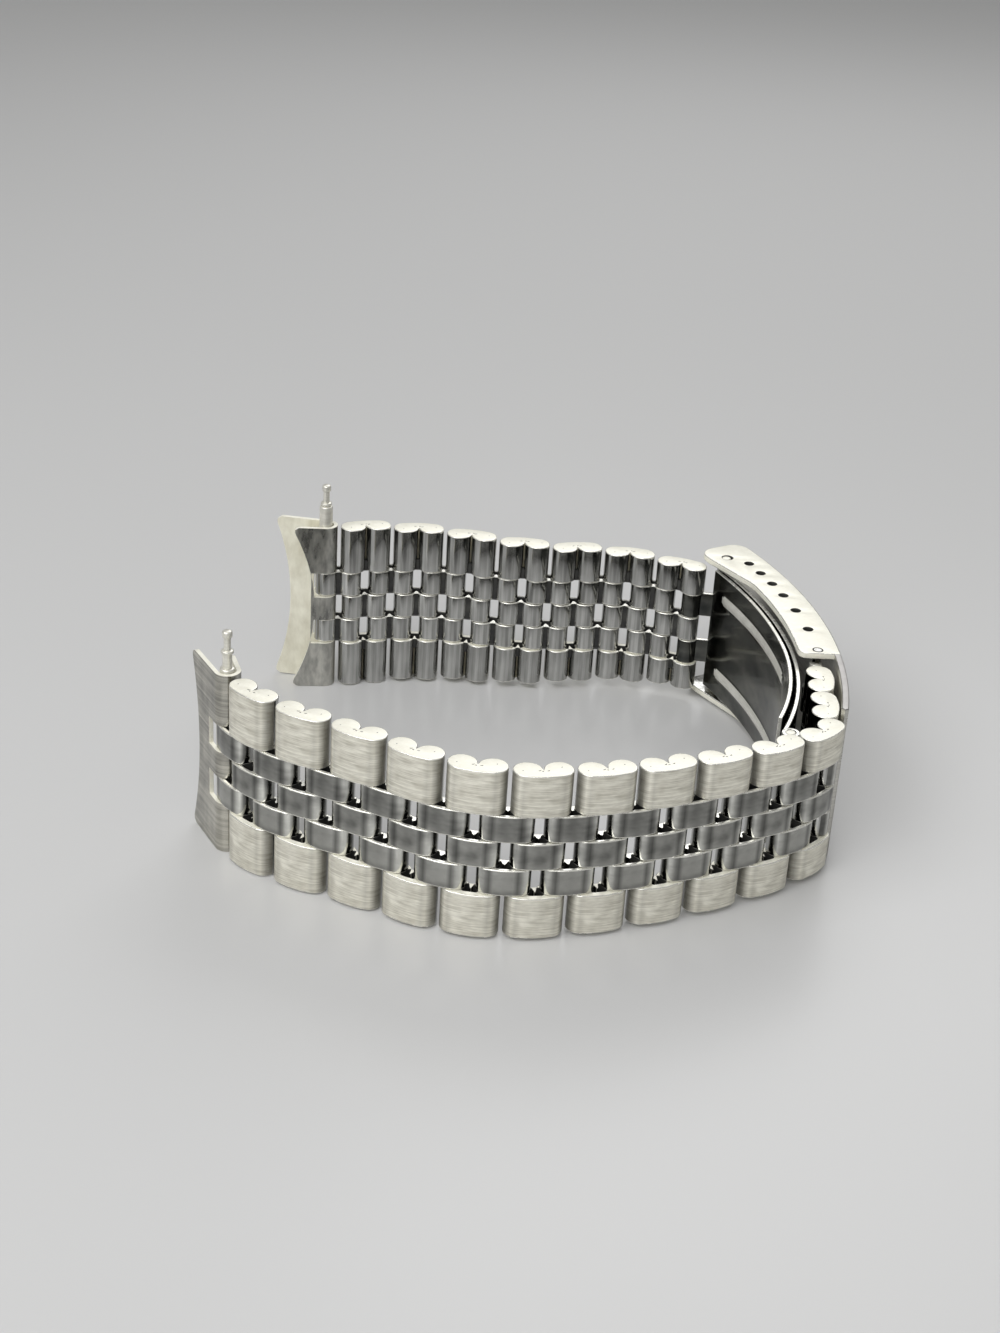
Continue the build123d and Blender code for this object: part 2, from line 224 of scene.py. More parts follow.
def blend(tree, kind, share, first, second):
    """Mix of two values, or product of two colours."""
    mix = node(tree, "ShaderNodeMix", data_type=kind)
    if kind == "RGBA":
        mix.blend_type = "MULTIPLY"
    # the node has sockets for each kind: its two inputs and its result
    one, other, result = {"FLOAT": (2, 3, 0), "RGBA": (6, 7, 2)}[kind]
    mix.inputs[0].default_value = share
    tree.links.new(first, mix.inputs[one])
    tree.links.new(second, mix.inputs[other])
    return mix.outputs[result]


def end_shade_and_highlight(tree, stops):
    """Painted shade and painted highlight in bands, by the distance from the middle of a link towards its ends."""
    size = node(tree, "ShaderNodeMath", operation="ABSOLUTE")
    tree.links.new(coordinate(tree, "Object", "X"), size.inputs[0])
    reach = node(tree, "ShaderNodeMath", operation="MULTIPLY")
    reach.inputs[1].default_value = 1 / (LINK_REACH * MM)
    tree.links.new(size.outputs[0], reach.inputs[0])
    return ramp(tree, reach.outputs[0], [(place, grey(shade)) for place, shade in stops])


def metal(name, dark, light, rough, marks, bump, clouds=(700, 700, 700), metallic=1.0, ends=()):
    """Steel with fine marks along one way, soft clouds, and bands of painted shade and painted highlight at a
    link's ends.

    marks and clouds give how closely they lie along each axis, per metre. rough is the least
    and the most roughness, and bump is the strength of the marks.
    """
    mat, tree, shader = new_material(name)
    fine = grain(tree, marks, 3)
    pattern = blend(tree, "FLOAT", CLOUD_SHARE, fine, grain(tree, clouds, 2))
    colour = ramp(tree, pattern, list(zip(COLOUR_SPAN, (dark, light))))
    # bands of painted shade and painted highlight towards a link's ends, multiplied into the colour
    if ends:
        colour = blend(tree, "RGBA", 1.0, colour, end_shade_and_highlight(tree, ends))
    tree.links.new(colour, shader.inputs["Base Color"])
    roughness = ramp(tree, pattern, list(zip(ROUGH_SPAN, map(grey, rough))))
    tree.links.new(roughness, shader.inputs["Roughness"])
    relief = node(tree, "ShaderNodeBump", Strength=bump, Distance=RELIEF_DEPTH)
    tree.links.new(fine, relief.inputs["Height"])
    tree.links.new(relief.outputs["Normal"], shader.inputs["Normal"])
    shader.inputs["Metallic"].default_value = metallic
    return mat


# painted shade towards the ends of the outer links, and painted shade and painted highlight towards those of the
# centre links, as shares of LINK_REACH from a link's middle
LINK_END_SHADE = ((0, 1.0), (0.48, 1.0), (0.64, 0.84), (0.76, 0.98), (0.9, 0.5))
CENTRE_END_SHADE_AND_HIGHLIGHT = ((0, 0.9), (0.32, 1.0), (0.46, 0.45), (0.56, 0.8), (0.66, 1.5), (0.76, 2.0), (0.84, 0.5))
BRUSHED = metal("brushed_steel", (0.56, 0.535, 0.45), (0.96, 0.94, 0.84), (0.34, 0.52),
                (420, 420, 9500), 0.26, (520, 520, 1000), 0.62, LINK_END_SHADE)
# polished steel of the centre links, with a dark base colour: painted reflection of dark surroundings
POLISHED = metal("polished_steel", (0.19, 0.19, 0.18), (0.42, 0.42, 0.395), (0.06, 0.14),
                 (240, 240, 600), 0.04, (420, 420, 420), ends=CENTRE_END_SHADE_AND_HIGHLIGHT)
# darker polished steel for the links' inner sides and the pins; on the cover walls' inner faces and the clasp
# bar's tips it is painted shade
INSIDE = metal("inside_steel", (0.24, 0.24, 0.23), (0.62, 0.62, 0.6), (0.08, 0.2),
               (2400, 2400, 60), 0.2, (500, 500, 160))
# pale steel for the outer links' caps, the end links' rims and the clasp's pins: painted light, a lighter copy of
# the brushed steel for faces turned up to the lamps
CAP = metal("lit_cap_steel", (0.84, 0.82, 0.71), (0.92, 0.905, 0.81), (0.36, 0.5),
            (2600, 2600, 2600), 0.06, (1200, 1200, 1200), 0.25)
# pale steel on rims, rounded edges and the centre links' ends: painted highlight along the edges
EDGE_HIGHLIGHT = metal("edge_highlight_steel", (0.74, 0.73, 0.67), (0.9, 0.89, 0.83), (0.2, 0.32),
             (900, 900, 900), 0.08, metallic=0.7)
# near-black painted shadow for the walls of bores, holes and the folds' hollows, and for the patches on the caps
PAINTED_SHADOW = metal("painted_shadow", (0.02, 0.02, 0.02), (0.05, 0.05, 0.045), (0.5, 0.7),
             (900, 900, 900), 0.2, metallic=0.2)
# pale steel for the outer faces of the cover's walls: painted light, paler than the plate as these faces look up
# to the lamps
WALL = metal("lit_cover_wall_steel", (0.84, 0.82, 0.71), (0.91, 0.895, 0.8), (0.34, 0.46),
             (2600, 2600, 2600), 0.05, metallic=0.25)
PLATE = metal("cover_plate_steel", (0.5, 0.49, 0.45), (0.74, 0.73, 0.68), (0.24, 0.4),
              (60, 60, 4200), 0.3, (160, 160, 300))
# near-black steel for the blades: painted shade, as they lie in the shadow of the cover
BLADE = metal("shaded_blade_steel", (0.04, 0.043, 0.042), (0.17, 0.17, 0.155), (0.08, 0.22),
              (200, 200, 420), 0.12, (260, 260, 420))
# pale steel on the inner blade's ribs: painted highlight on the dark blade
RIB = metal("rib_highlight_steel", (0.7, 0.69, 0.63), (0.84, 0.83, 0.77), (0.34, 0.44),
            (500, 500, 500), 0.03, metallic=0.5)
SKIN = metal("end_skin_steel", (0.22, 0.215, 0.195), (0.62, 0.6, 0.53), (0.12, 0.28),
             (90, 90, 2600), 0.14, (420, 420, 200))
HOLLOW = metal("end_hollow_steel", (0.7, 0.67, 0.54), (0.92, 0.9, 0.77), (0.34, 0.5),
               (900, 900, 420), 0.4, (360, 360, 240), 0.4)
ROUGH = metal("end_inner_steel", (0.2, 0.2, 0.19), (0.66, 0.65, 0.6), (0.2, 0.42),
              (1100, 1100, 420), 0.7, (380, 380, 140))
BAR = metal("bar_steel", (0.66, 0.645, 0.58), (0.82, 0.805, 0.73), (0.28, 0.4),
            (400, 400, 3200), 0.04, metallic=0.6)
SPRING = metal("spring_steel", (0.3, 0.29, 0.28), (0.42, 0.41, 0.4), (0.3, 0.45),
               (400, 400, 4000), 0.4)


# Places, from the joints. Level coordinates are those of the part's source.

JOINTS = {joint["name"]: joint for joint in frame["joints"]}


def pin_of(joint):
    """Point on the axis of a joint, in the frame."""
    return Vector(JOINTS[joint]["pos_m"])


def pins_of(strand):
    """Pins of a strand, from the clasp to the end link, and the way up its axes."""
    names = sorted((name for name in JOINTS if name.startswith(strand + "_hinge_")), reverse=True)
    up = Vector(JOINTS[names[0]]["axis"])
    return [pin_of(name) for name in names], up if up.z > 0 else -up


LONG_PINS, UP = pins_of("long")
SHORT_PINS, UP = pins_of("short")
HALF = (LONG_PINS[1] - LONG_PINS[0]).length / 2 / MM
CLASP_CENTRE = Vector((CLASP_FRONT - CLASP_RADIUS, CLASP_LEVEL))


def at(place, depth):
    """Level point on the clasp: place along its outer face, depth under it."""
    turn = place / CLASP_RADIUS
    return CLASP_CENTRE + Vector((math.cos(turn), math.sin(turn))) * (CLASP_RADIUS - depth)


HINGE = at(HINGE_PLACE, HINGE_DEPTH)
MIDDLE = at(MIDDLE_HINGE, MIDDLE_HINGE_DEPTH)


def level_frame():
    """Matrix from level coordinates to the frame, found from the clasp's two hinges."""
    start = pin_of("clasp_hinge")
    along = (pin_of("clasp_middle_hinge") - start).normalized()
    across = UP.cross(along)
    turn = math.atan2(MIDDLE.y - HINGE.y, MIDDLE.x - HINGE.x)
    x = along * math.cos(turn) - across * math.sin(turn)
    y = along * math.sin(turn) + across * math.cos(turn)
    place = Matrix((x, y, UP)).transposed().to_4x4()
    place.translation = start - (x * HINGE.x + y * HINGE.y) * MM
    return place


LEVEL = level_frame()


def level_of(point):
    """Level coordinates of a point of the frame."""
    local = LEVEL.inverted() @ point
    return Vector((local.x, local.y)) / MM


def pin_frame(point):
    """Level axes with their origin on a pin."""
    place = LEVEL.copy()
    place.translation = point
    return place


# Mesh making, in millimetres.

BODIES = frame["record"]["behaviour"]["bodies"]
SHARP_ANGLE = 50
ROUND_RIM = [(0, 1), (0.12, 0.5), (0.5, 0.12), (1, 0)]
CORNER_STEPS = 7
CELL = ((0, 0), (0, 1), (1, 1), (1, 0))
BESIDE_CELL = ((-1, 0), (0, 1), (1, 0), (0, -1))


class Build:
    """Gathers the vertices and faces of a piece, with the material of each face."""

    def __init__(self, *materials):
        self.materials = materials
        self.verts, self.faces, self.looks = [], [], []

    def add(self, verts, faces, materials, smooth=True):
        """Adds vertices with their faces, in one material or one for each, and says where."""
        base = len(self.verts)
        self.verts += [(x * MM, y * MM, z * MM) for x, y, z in verts]
        self.faces += [tuple(base + corner for corner in face) for face in faces]
        if not isinstance(materials, list):
            materials = [materials] * len(faces)
        self.looks += [(material, smooth) for material in materials]
        return base

    def add_flat(self, corners, material):
        """Adds an unsmoothed face on vertices that are there already."""
        self.faces.append(tuple(corners))
        self.looks.append((material, False))

    def finish(self, name, place, node_name):
        """Makes the object, which stands for a CAD node and rides on its body."""
        mesh = bpy.data.meshes.new(name)
        mesh.from_pydata(self.verts, [], self.faces)
        for material in self.materials:
            mesh.materials.append(material)
        for face, (material, smooth) in zip(mesh.polygons, self.looks):
            face.material_index = self.materials.index(material)
            face.use_smooth = smooth
        mesh.set_sharp_from_angle(angle=math.radians(SHARP_ANGLE))
        mesh.validate()
        made = bpy.data.objects.new(name, mesh)
        scene.collection.objects.link(made)
        made.matrix_world = place
        bpy.context.view_layer.update()
        body = next(key for key, members in BODIES.items() if node_name in members)
        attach(made, body)
        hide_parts(node_name)
        return made


def turned(points, clockwise):
    """The outline in the wanted direction."""
    area = sum(a[0] * b[1] - b[0] * a[1] for a, b in zip(points, points[1:] + points[:1]))
    return points if (area < 0) == clockwise else points[::-1]


def inset(points, amount):
    """The outline moved into the material, by no more than twice the amount at a corner."""
    moved = []
    count = len(points)
    for index, (x, y) in enumerate(points):
        before = Vector((x, y)) - Vector(points[index - 1])
        after = Vector(points[(index + 1) % count]) - Vector((x, y))
        way = (before.normalized() + after.normalized())
        share = max(way.length / 2, 0.5)
        way.normalize()
        moved.append((x + way.y * amount / share, y - way.x * amount / share))
    return moved


def rim_rings(low, high, rounding):
    """Heights of a solid from its low end to its high one, with the inset at each."""
    shares = ROUND_RIM if rounding else [(0, 0)]
    rings = [(low + rounding * along, rounding * side) for along, side in shares]
    return rings + [(high - rounding * along, rounding * side) for along, side in reversed(shares)]


def close_end(build, loops, upward, material):
    """Flat end of a solid: the first loop of vertices less the others."""
    corners = [index for loop in loops for index in loop]
    polygon = [[Vector(build.verts[index]) / MM for index in loop] for loop in loops]
    for triangle in tessellate_polygon(polygon):
        face = [corners[number] for number in triangle]
        p, q, r = (Vector(build.verts[index]) for index in face)
        if ((q - p).cross(r - p).z > 0) != upward:
            face = face[::-1]
        build.add_flat(face, material)


def solid(build, outline, low, high, rounding, side, ends, rim, holes=(), bore=None, floor=None):
    """Outline with holes, drawn from one height to another, with rounded rims.

    side is the material of the sides, or it chooses one for two neighbouring points. ends
    gives those of the low and the high end. With a floor, the holes are blind and reach it
    from the nearer end.
    """
    loops = [turned([tuple(p) for p in outline], True)]
    loops += [turned([tuple(p) for p in hole], False) for hole in holes]
    rings = rim_rings(low, high, rounding)
    half = len(rings) // 2
    bottom, top = [], []
    for number, points in enumerate(loops):
        blind = bool(number) and floor is not None
        from_low = not blind or floor - low < high - floor
        from_high = not blind or not from_low
        here = rings
        if blind:
            here = rings[:half] + [(floor, 0)] if from_low else [(floor, 0)] + rings[-half:]
        verts = [(x, y, height) for height, amount in here for x, y in inset(points, amount)]
        count, last = len(points), len(here) - 1
        faces, materials = [], []
        for ring in range(last):
            for step in range(count):
                on = (step + 1) % count
                a, b = ring * count + step, ring * count + on
                faces.append((b, a, a + count, b + count))
                if number:
                    materials.append(bore)
                elif ring != half - 1:
                    materials.append(rim)
                else:
                    materials.append(side(points[step], points[on]) if callable(side) else side)
        base = build.add(verts, faces, materials)
        first_ring = [base + step for step in range(count)]
        last_ring = [base + last * count + step for step in range(count)]
        if blind:
            build.add_flat(last_ring[::-1] if from_low else first_ring, bore)
        if from_low:
            bottom.append(first_ring)
        if from_high:
            top.append(last_ring)
    close_end(build, bottom, False, ends[0])
    close_end(build, top, True, ends[1])


def circle(point, radius, count):
    """Round outline."""
    turns = [2 * math.pi * step / count for step in range(count)]
    return [(point[0] + radius * math.cos(turn), point[1] + radius * math.sin(turn)) for turn in turns]


def rounded(corners, steps=CORNER_STEPS):
    """Outline through corners (x, y, radius), with arcs in place of those that have a radius."""
    points = []
    count = len(corners)
    for index, (x, y, radius) in enumerate(corners):
        if not radius:
            points.append((x, y))
            continue
        here = Vector((x, y))
        back = (Vector(corners[index - 1][:2]) - here).normalized()
        on = (Vector(corners[(index + 1) % count][:2]) - here).normalized()
        half = back.angle(on) / 2
        reach = radius / math.tan(half)
        middle = here + (back + on).normalized() * (radius / math.sin(half))
        first, last = here + back * reach - middle, here + on * reach - middle
        turn = first.angle_signed(last)
        for step in range(steps + 1):
            arm = Matrix.Rotation(-turn * (step / steps), 2) @ first
            points.append(tuple(middle + arm))
    return points


def lathe(build, profile, material, count):
    """Round piece about the upright axis, through (radius, height) points."""
    verts, faces = [], []
    for radius, height in profile:
        verts += [(x, y, height) for x, y in circle((0, 0), radius, count)]
    for ring in range(len(profile) - 1):
        for step in range(count):
            a, b = ring * count + step, ring * count + (step + 1) % count
            faces.append((a, b, b + count, a + count))
    base = build.add(verts, faces, material)
    last = base + (len(profile) - 1) * count
    build.add_flat(range(base, base + count)[::-1], material)
    build.add_flat(range(last, last + count), material)


def sheet(build, rows, heights, thick, keep, looks, lift=None, side=1):
    """Bent sheet with its rims.

    rows(height) gives points with their normals, keep says which cells are there, and looks
    gives a cell's materials: on the side of the normals, behind it and on a rim. lift raises
    the side of the normals, and side -1 mirrors the sheet.
    """
    grid = [rows(height) for height in heights]
    count = len(grid[0])
    verts = []
    for row, height in zip(grid, heights):
        for index, (point, normal) in enumerate(row):
            bump = lift(index, height) if lift else 0
            for away in (thick / 2 + bump, -thick / 2):
                x, y = point + normal * away
                verts.append((x, y * side, height))

    def middle_of(level):
        return (heights[level] + heights[level + 1]) / 2

    cells = {(level, index) for level in range(len(heights) - 1) for index in range(count - 1)
             if keep(index, middle_of(level))}
    faces, materials = [], []
    for level, index in sorted(cells):
        outer, inner = ([((level + up) * count + index + on) * 2 + under for up, on in CELL]
                        for under in (0, 1))
        front, back, rim = looks(index, middle_of(level))
        faces += [tuple(outer[::-1]), tuple(inner)]
        materials += [front, back]
        for a, (up, on) in enumerate(BESIDE_CELL):
            if (level + up, index + on) not in cells:
                b = (a + 1) % len(CELL)
                faces.append((outer[a], outer[b], inner[b], inner[a]))
                materials.append(rim)
    if side > 0:
        faces = [face[::-1] for face in faces]
    build.add(verts, faces, materials)


def soften(piece, width, material, angle=40):
    """Small rounded edges in a material of the piece, where faces meet at more than the angle."""
    bevel = piece.modifiers.new("edges", "BEVEL")
    bevel.width = width * MM
    bevel.segments = 2
    bevel.limit_method = "ANGLE"
    bevel.angle_limit = math.radians(angle)
    bevel.material = piece.data.materials.find(material.name)


# Links. Each stands for its node: x along its pins, y outwards, z up the pins.

ROW_A = (CENTRE_ROW / 2 + ROW_GAP, CENTRE_ROW * 1.5 + ROW_GAP)
ROW_B = (-CENTRE_ROW / 2, CENTRE_ROW / 2)
ROW_C = (-ROW_A[1], -ROW_A[0])
OUTER_ROW = ROW_A[1] + ROW_GAP
FACE_STEPS = 6
LOBE_STEPS = 16
CLEFT_STEPS = 8
CLEFT_TURN = 84
BORE_STEPS = 16
PIN_STEPS = 12
WRIST_SIDE = -0.05


def section(lobe, cleft):
    """Section of a folded link, once round, from the middle of its outer face."""
    shares = [step / FACE_STEPS for step in range(FACE_STEPS)]
    right = [(HALF * share, lobe + CROWN * (1 - share ** 2)) for share in shares]
    for step in range(LOBE_STEPS + 1):
        turn = math.radians(90 - 180 * step / LOBE_STEPS)
        right.append((HALF + lobe * math.cos(turn), lobe * math.sin(turn)))
    for step in range(1, CLEFT_STEPS + 1):
        turn = math.radians(CLEFT_TURN * step / CLEFT_STEPS)
        right.append((HALF - (HALF - CLEFT_HALF) * math.sin(turn), -lobe * math.cos(turn)))
    right.append((0, cleft))
    left = [(-x, y) for x, y in reversed(right[1:-1])]
    return right + left


OUTER_SECTION = section(OUTER_LOBE, OUTER_CLEFT)
CENTRE_SECTION = section(CENTRE_LOBE, CENTRE_CLEFT)

# the hollow between the folds of a link, as corners with their radii; its walls and floor get the painted shadow
FOLD = rounded([(-0.75, 0.78, 0.2), (0.75, 0.78, 0.2), (0.5, -0.5, 0.3), (-0.5, -0.5, 0.3)], 4)

# painted shadow on a cap: flat dark patches where the folds of its sheet meet, x, y, length and turn of each
SHADOW_PATCHES = ((-0.42, 0.34, 0.3, 0.3), (0.12, 0.42, 0.24, -0.2), (0.4, 0.3, 0.34, 0.5),
        (-1.75, -0.3, 0.14, 1.1), (1.95, 0.25, 0.12, 0.4))
PATCH_CORNERS = 10
PATCH_WAVE = 0.35


def link_sides(outside, inside):
    """Chooses the material of a link's side by which way it faces."""
    def choose(first, second):
        return outside if (first[1] + second[1]) / 2 > WRIST_SIDE else inside
    return choose


def shadow_patches(build, height):
    """Small uneven flat patches of painted shadow, which lie on a cap where the folds of its sheet meet. Each has
    three lobes, turned by its place.
    """
    for x, y, length, turn in SHADOW_PATCHES:
        verts = []
        for step in range(PATCH_CORNERS):
            angle = 2 * math.pi * step / PATCH_CORNERS
            wave = 1 + PATCH_WAVE * math.sin(3 * angle + 9 * x)
            along = length / 2 * math.cos(angle) * wave
            across = PATCH_HALF * math.sin(angle) * wave
            verts.append((x + along * math.cos(turn) - across * math.sin(turn),
                          y + along * math.sin(turn) + across * math.cos(turn), height))
        face = tuple(range(PATCH_CORNERS))
        build.add(verts, [face if height > 0 else face[::-1]], PAINTED_SHADOW, smooth=False)


def link_place(first, second, side):
    """Matrix of a link: x along its pins, y outwards, z up its axes."""
    x = (second - first).normalized() * side
    place = Matrix((x, UP.cross(x), UP)).transposed().to_4x4()
    place.translation = (first + second) / 2
    return place


def centre_link(build, row, holes):
    """Polished link of one row."""
    solid(build, CENTRE_SECTION, *row, CENTRE_ROUNDING, link_sides(POLISHED, INSIDE), (EDGE_HIGHLIGHT, EDGE_HIGHLIGHT),
          EDGE_HIGHLIGHT, holes, PAINTED_SHADOW)


def triple(name, width, place):
    """Both outer links, the middle one and their two pins."""
    build = Build(BRUSHED, INSIDE, CAP, POLISHED, EDGE_HIGHLIGHT, PAINTED_SHADOW)
    top, floor = width / 2, OUTER_ROW + HOLLOW_DEPTH
    for low, high, hollow in ((OUTER_ROW, top, floor), (-top, -OUTER_ROW, -floor)):
        solid(build, OUTER_SECTION, low, high, OUTER_ROUNDING, link_sides(BRUSHED, INSIDE), (CAP, CAP),
              EDGE_HIGHLIGHT, [FOLD], PAINTED_SHADOW, hollow)
    # flat patches of painted shadow, a hair above both caps
    for height in (top + PATCH_LIFT, -top - PATCH_LIFT):
        shadow_patches(build, height)
    centre_link(build, ROW_B, [FOLD])
    for x in (-HALF, HALF):
        rod = circle((x, 0), PIN_RADIUS, PIN_STEPS)
        solid(build, rod, -OUTER_ROW, OUTER_ROW, 0, INSIDE, (INSIDE, INSIDE), INSIDE)
    build.finish("fine_" + name, place, name)


def pair(name, place, near, far):
    """The links of rows A and C, with a bore at both ends."""
    build = Build(POLISHED, INSIDE, EDGE_HIGHLIGHT, PAINTED_SHADOW)
    bores = [circle((-HALF, 0), near, BORE_STEPS), circle((HALF, 0), far, BORE_STEPS)]
    for row in (ROW_A, ROW_C):
        centre_link(build, row, [FOLD] + bores)
    build.finish("fine_" + name, place, name)


def dress(strand, pins, side, links, pair_first):
    """Puts the fine links of a strand in the place of the plain ones, from the clasp on."""
    for count, (first, second) in enumerate(zip(pins, pins[1:])):
        place = link_place(first, second, side)
        number = links - count // 2
        if (count % 2 == 0) == pair_first:
            number += pair_first
            clasp_bore = CLASP_BAR_RADIUS + BAR_PLAY if number > links else PIN_RADIUS + PIN_PLAY
            case_bore = BAR_RADIUS + BAR_PLAY if number == 1 else PIN_RADIUS + PIN_PLAY
            bores = (clasp_bore, case_bore)[::side]
            pair(f"{strand}_pair_{number:02d}", place, *bores)
        else:
            share = (number - 1) / (links - 1)
            width = WIDTH_AT_CASE + (WIDTH_AT_CLASP - WIDTH_AT_CASE) * share
            triple(f"{strand}_triple_{number:02d}", width, place)


dress("long", LONG_PINS, 1, LONG_LINKS, True)
dress("short", SHORT_PINS, -1, SHORT_LINKS, False)


# Clasp cover: outer plate and two side walls with their holes.

HALF_COVER = COVER_WIDTH / 2
HOLE_SIDES = 28
WALL_STEPS = 40
PLATE_STEPS = 60
BACK_STEPS = 26
TIP_ROOM = 3.0
TIP_BEND = 3.0
WALL_BEND = 6.0
WALL_BEND_ROOM = 3.2
NEAR_CORNER = 1.1
NEAR_CORNER_ROOM = 1.5


def face_arc(depth, start, end, count):
    """Level points along the clasp at one depth."""
    return [at(start + (end - start) * step / count, depth) for step in range(count + 1)]


def wall_outline():
    """Side wall with its deeper, rounded tip."""
    bend = COVER_FAR - TIP_LENGTH
    start = bend - TIP_LENGTH
    corners = [(*p, 0) for p in face_arc(0, WALL_NEAR, COVER_FAR - TIP_ROOM, WALL_STEPS)]
    corners += [(*at(COVER_FAR, 0), CORNER), (*at(COVER_FAR, TIP_DEPTH), CORNER)]
    corners += [(*at(bend + TIP_LENGTH / 2, TIP_DEPTH), TIP_BEND), (*at(start, WALL_DEPTH), WALL_BEND)]
    back = face_arc(WALL_DEPTH, start - WALL_BEND_ROOM, WALL_NEAR + NEAR_CORNER_ROOM, BACK_STEPS)
    corners += [(*p, 0) for p in back]
    corners += [(*at(WALL_NEAR, WALL_DEPTH), NEAR_CORNER)]
    return rounded(corners)


def plate_outline():
    """Outer plate, with its near edge pointed and its far edge round as in the walls."""
    corner = wall_outline()[WALL_STEPS + 1:WALL_STEPS + CORNER_STEPS + 2]
    tip = [Vector(p) for p in corner if CLASP_RADIUS - (Vector(p) - CLASP_CENTRE).length < COVER_SHEET]
    near = COVER_NEAR + PLATE_ROUND
    outer = face_arc(0, near, COVER_FAR - TIP_ROOM, PLATE_STEPS) + tip
    inner = face_arc(COVER_SHEET, COVER_FAR - PLATE_BACK_SHORT, near, PLATE_STEPS)
    return outer + inner + [at(COVER_NEAR, COVER_SHEET / 2)]


def cover_holes():
    """Holes of the bar, from the tip on, and that of the hinge pin, which lies off its middle."""
    places = [FIRST_HOLE - sum(HOLE_STEPS[:count]) for count in range(len(HOLE_STEPS) + 1)]
    holes = [circle(at(place, HOLE_DEPTH), HOLE_RADIUS, HOLE_SIDES) for place in places]
    along, up = HINGE_HOLE_OFF
    hinge = at(HINGE_PLACE - along, HINGE_DEPTH - up)
    return holes + [circle(hinge, HINGE_PIN + HINGE_HOLE_PLAY, HOLE_SIDES)]


def clasp_cover():
    """The plate and both walls, in one piece."""
    build = Build(WALL, PLATE, EDGE_HIGHLIGHT, PAINTED_SHADOW, INSIDE, SPRING)
    wall = inset(turned(wall_outline(), True), WALL_INSET)
    inner = HALF_COVER - COVER_SHEET
    # the walls' inner faces in the darker steel: painted shade inside the cover
    for low, high, ends in ((inner, HALF_COVER, (INSIDE, WALL)), (-HALF_COVER, -inner, (WALL, INSIDE))):
        solid(build, wall, low, high, COVER_ROUNDING, WALL, ends, EDGE_HIGHLIGHT, cover_holes(), PAINTED_SHADOW)
    reach = HALF_COVER - PLATE_INSET
    solid(build, plate_outline(), -reach, reach, COVER_ROUNDING, PLATE, (SPRING, SPRING), SPRING)
    build.finish("fine_clasp_cover", LEVEL, "clasp_cover")


clasp_cover()


# Blades: bent sheets with rolled eyes.

EYE_RIM = MIDDLE_HINGE_DEPTH + BARREL - BLADE_SHEET / 2
OUTER_DROP = EYE_RIM - OUTER_BLADE_DEPTH
INNER_BLADE_DEPTH = OUTER_BLADE_DEPTH + BLADE_SHEET + BLADE_GAP
HALF_BLADE = BLADE_WIDTH / 2
HALF_EYE = MIDDLE_EYE / 2
OUTER_BLADE_STEPS = 64
INNER_BLADE_STEPS = 84
OUTER_BLADE_LEVEL = 1.2
INNER_BLADE_LEVEL = 0.2
EYE_SIDES = 32
EYE_HOLE_SIDES = 24
TANGENT = 0.1
RIB_FULLNESS = 0.8
RIB_ANGLE = 75


def blade_rows(depth, near, far, count):
    """Points of a blade with their normals towards the wrist, and their places."""
    places = [near + (far - near) * step / count for step in range(count + 1)]

    def middle(place):
        share = max(0, (BLADE_BEND - place) / (BLADE_BEND - near))
        drop = share * (4 * BEND_SHARE - 1) + share * share * (2 - 4 * BEND_SHARE)
        return at(place, depth + OUTER_DROP * drop)

    row = []
    for place in places:
        ahead = (middle(place + TANGENT) - middle(place - TANGENT)).normalized()
        row.append((middle(place), Vector((-ahead.y, ahead.x))))
    return row, places


def levels(edges, step):
    """Heights from the lowest edge to the highest, meeting each edge."""
    found = []
    for low, high in zip(edges, edges[1:]):
        count = max(1, round((high - low) / step))
        found += [low + (high - low) * part / count for part in range(count)]
    return found + [edges[-1]]


def eye(build, point, radius, hole, low, high):
    """Rolled eye."""
    solid(build, circle(point, radius, EYE_SIDES), low, high, EYE_ROUNDING, BLADE, (EDGE_HIGHLIGHT, EDGE_HIGHLIGHT), EDGE_HIGHLIGHT,
          [circle(point, hole, EYE_HOLE_SIDES)], BLADE)


def outer_blade():
    """Sheet under the cover, with a slot round the inner blade's eye."""
    build = Build(BLADE, EDGE_HIGHLIGHT)
    row, places = blade_rows(OUTER_BLADE_DEPTH, MIDDLE_HINGE, HINGE_PLACE, OUTER_BLADE_STEPS)
    slot = HALF_EYE + BLADE_GAP

    def keep(index, height):
        return abs(height) > slot or places[index] > MIDDLE_HINGE + EYE_TAB + BLADE_GAP

    heights = levels([-HALF_BLADE, -slot, slot, HALF_BLADE], OUTER_BLADE_LEVEL)
    sheet(build, lambda height: row, heights, BLADE_SHEET - BLADE_THINNING, keep,
          lambda index, height: (BLADE, BLADE, EDGE_HIGHLIGHT))
    eye(build, HINGE, BARREL, HINGE_PIN + PIN_PLAY, -HALF_BLADE, HALF_BLADE)
    for low, high in ((slot, HALF_BLADE), (-HALF_BLADE, -slot)):
        eye(build, MIDDLE, BARREL, HINGE_PIN, low, high)
    piece = build.finish("fine_outer_blade", LEVEL, "clasp_outer_blade")
    soften(piece, BLADE_EDGE, EDGE_HIGHLIGHT)


